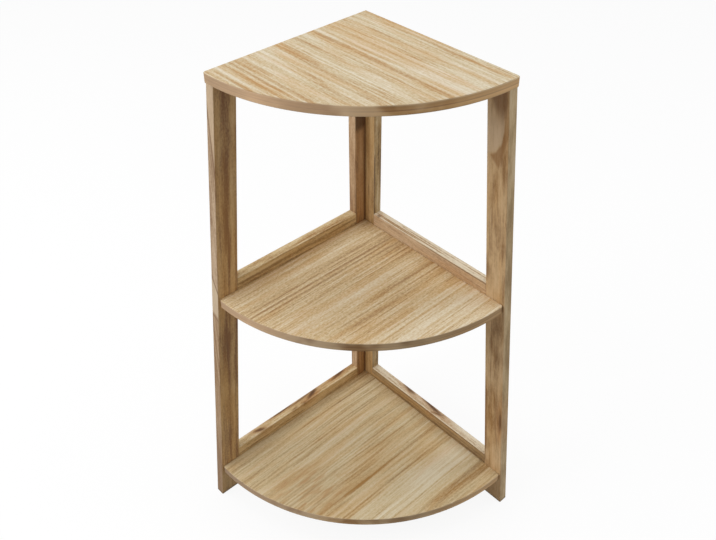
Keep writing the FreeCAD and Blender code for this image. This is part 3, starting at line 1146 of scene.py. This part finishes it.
print({rail: len(knots) for rail, knots in RAIL_KNOTS.items()}, "knots on the rails")

# %% Dress the rails
RAIL_TOP_TONES = {
    "left": ((160, 118, 70), (209, 183, 137), (232, 214, 180)),
    "right": ((172, 138, 98), (225, 209, 180), (238, 226, 203)),
}
DARK_ARRIS_BELOW_TOP = (0.0020, 0.0004)


def rail_dress(side):
    """A dress for a rail: its pale upper edge."""
    def dress(bench, board, colour):
        pale = wood_ramp(bench, board.tone, RAIL_TOP_TONES[side])
        return bench.blend(bench.fade(board.facing[2], 0.60, 0.90), colour, pale)
    return dress


def inner_arris(rail, start, end):
    """A dress for a right rail whose upper inner arris is a dark line over part of its length."""
    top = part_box(rail)[1].z
    low_side, high_side = (top - drop for drop in DARK_ARRIS_BELOW_TOP)
    plain = rail_dress("right")

    def dress(bench, board, colour):
        line = bench.between(board.across, low_side, high_side, 0.0004)
        line = bench.times(line, bench.fade(board.through, 0.003, 0.0))
        length = bench.between(board.along, start, end, STREAK_END_BLUR)
        shown = bench.times(line, length)
        return tint(bench, shown, 0.65, plain(bench, board, colour), SOILED_DARK)
    return dress


RAIL_DRESSES = {
    "right_middle": inner_arris("right_middle_rail", -0.03, 0.10),
    "right_low": inner_arris("right_low_rail", -0.08, 0.12),
}
print(sorted(RAIL_DRESSES), "rails have a dark arris")

# %% Finish the rails
TIERS = ("top", "middle", "low")
GRAIN_LEVEL = {"left": "YZX", "right": "XZY"}
LEFT_RAIL_TONES = ((138, 102, 58), (206, 174, 121), (226, 198, 150))
PINK_RAIL_TONES = ((156, 118, 90), (201, 171, 136), (222, 196, 164))
RIGHT_RAIL_TONES = ((106, 74, 42), (148, 116, 73), (184, 154, 110))
RAIL_TONES = {"left": LEFT_RAIL_TONES, "right": RIGHT_RAIL_TONES}
OWN_RAIL_TONES = {"right_middle": PINK_RAIL_TONES}
RAIL_CONTRAST = 1.1
RAIL_GRAIN = {"Wander": 0.0015, "Pitch": 420.0, "Streaks": 1.1, "Hairs": 0.8, "Flecks": 0.7,
              "Clouds": 0.4}

for side in ("left", "right"):
    for order, tier in enumerate(TIERS):
        rail = f"{side}_{tier}"
        tones = OWN_RAIL_TONES.get(rail, RAIL_TONES[side])
        amounts = {"Seed": POST_SEED[side] + 0.31 * order, **RAIL_GRAIN}
        finish(rail + "_rail", wood(
            rail + "_rail_wood", GRAIN_LEVEL[side], INNER_FACE[side], tones, amounts,
            contrast=RAIL_CONTRAST, streaks=RAIL_STREAKS.get(rail, ()),
            knots=RAIL_KNOTS.get(rail, ()), dress=RAIL_DRESSES.get(rail, rail_dress(side))))
print(len(finished), "nodes finished")

# %% [markdown]
# ## The dowels
# Plain turned dowels pin each rail between stile and post. They are hidden once the frame is glued,
# but anyone who takes the model apart will see them, so they get a pale wood of their own.

# %% Finish the dowels
DOWEL_TONES = ((166, 132, 92), (204, 178, 140), (224, 204, 172))

for side in ("left", "right"):
    for tier in TIERS:
        group = f"{side}_{tier}_rail_dowels"
        amounts = {"Seed": POST_SEED[side] + 0.7}
        finish(group, wood(
            group + "_wood", GRAIN_LEVEL[side], INNER_FACE[side], DOWEL_TONES, amounts))
print(len(finished), "nodes finished")

# %% [markdown]
# ## The screws
# Countersunk screws hold the shelves and the corner together, with heads on the wall side and under
# the top rails. Zinc plating is a bright grey metal with a fine mottle, so a metal shader reads one
# noise for its colour, its gloss and a trace of relief.

# %% Finish the screws
MOTTLE_WAVES = (420.0, 420.0, 420.0)
DULL_ZINC = (0.48, 0.47, 0.45)
BRIGHT_ZINC = (0.70, 0.69, 0.66)


def zinc():
    """Zinc-plated steel with a fine mottle."""
    material, bench = new_finish("zinc_plated_steel")
    where = bench.add("ShaderNodeTexCoord").outputs["Object"]
    mottle = bench.noise(where, MOTTLE_WAVES, detail=3.0)
    colour = bench.ramp(mottle, ((0.3, DULL_ZINC), (0.7, BRIGHT_ZINC)))
    rough = bench.sum("MULTIPLY_ADD", mottle, 0.25, 0.22)
    bump = bench.add("ShaderNodeBump", {"Strength": 0.15, "Distance": 0.0002, "Height": mottle})
    values = {"Base Color": colour, "Metallic": 1.0, "Roughness": rough, "Normal": bump.outputs[0]}
    surface = bench.add("ShaderNodeBsdfPrincipled", values)
    bench.add("ShaderNodeOutputMaterial", {"Surface": surface.outputs[0]})
    return material


steel = zinc()
for group in ("corner_screws", "top_shelf_screws", "middle_shelf_screws", "low_shelf_screws"):
    finish(group, steel)
print("still plain:", sorted(set(boards) - finished))
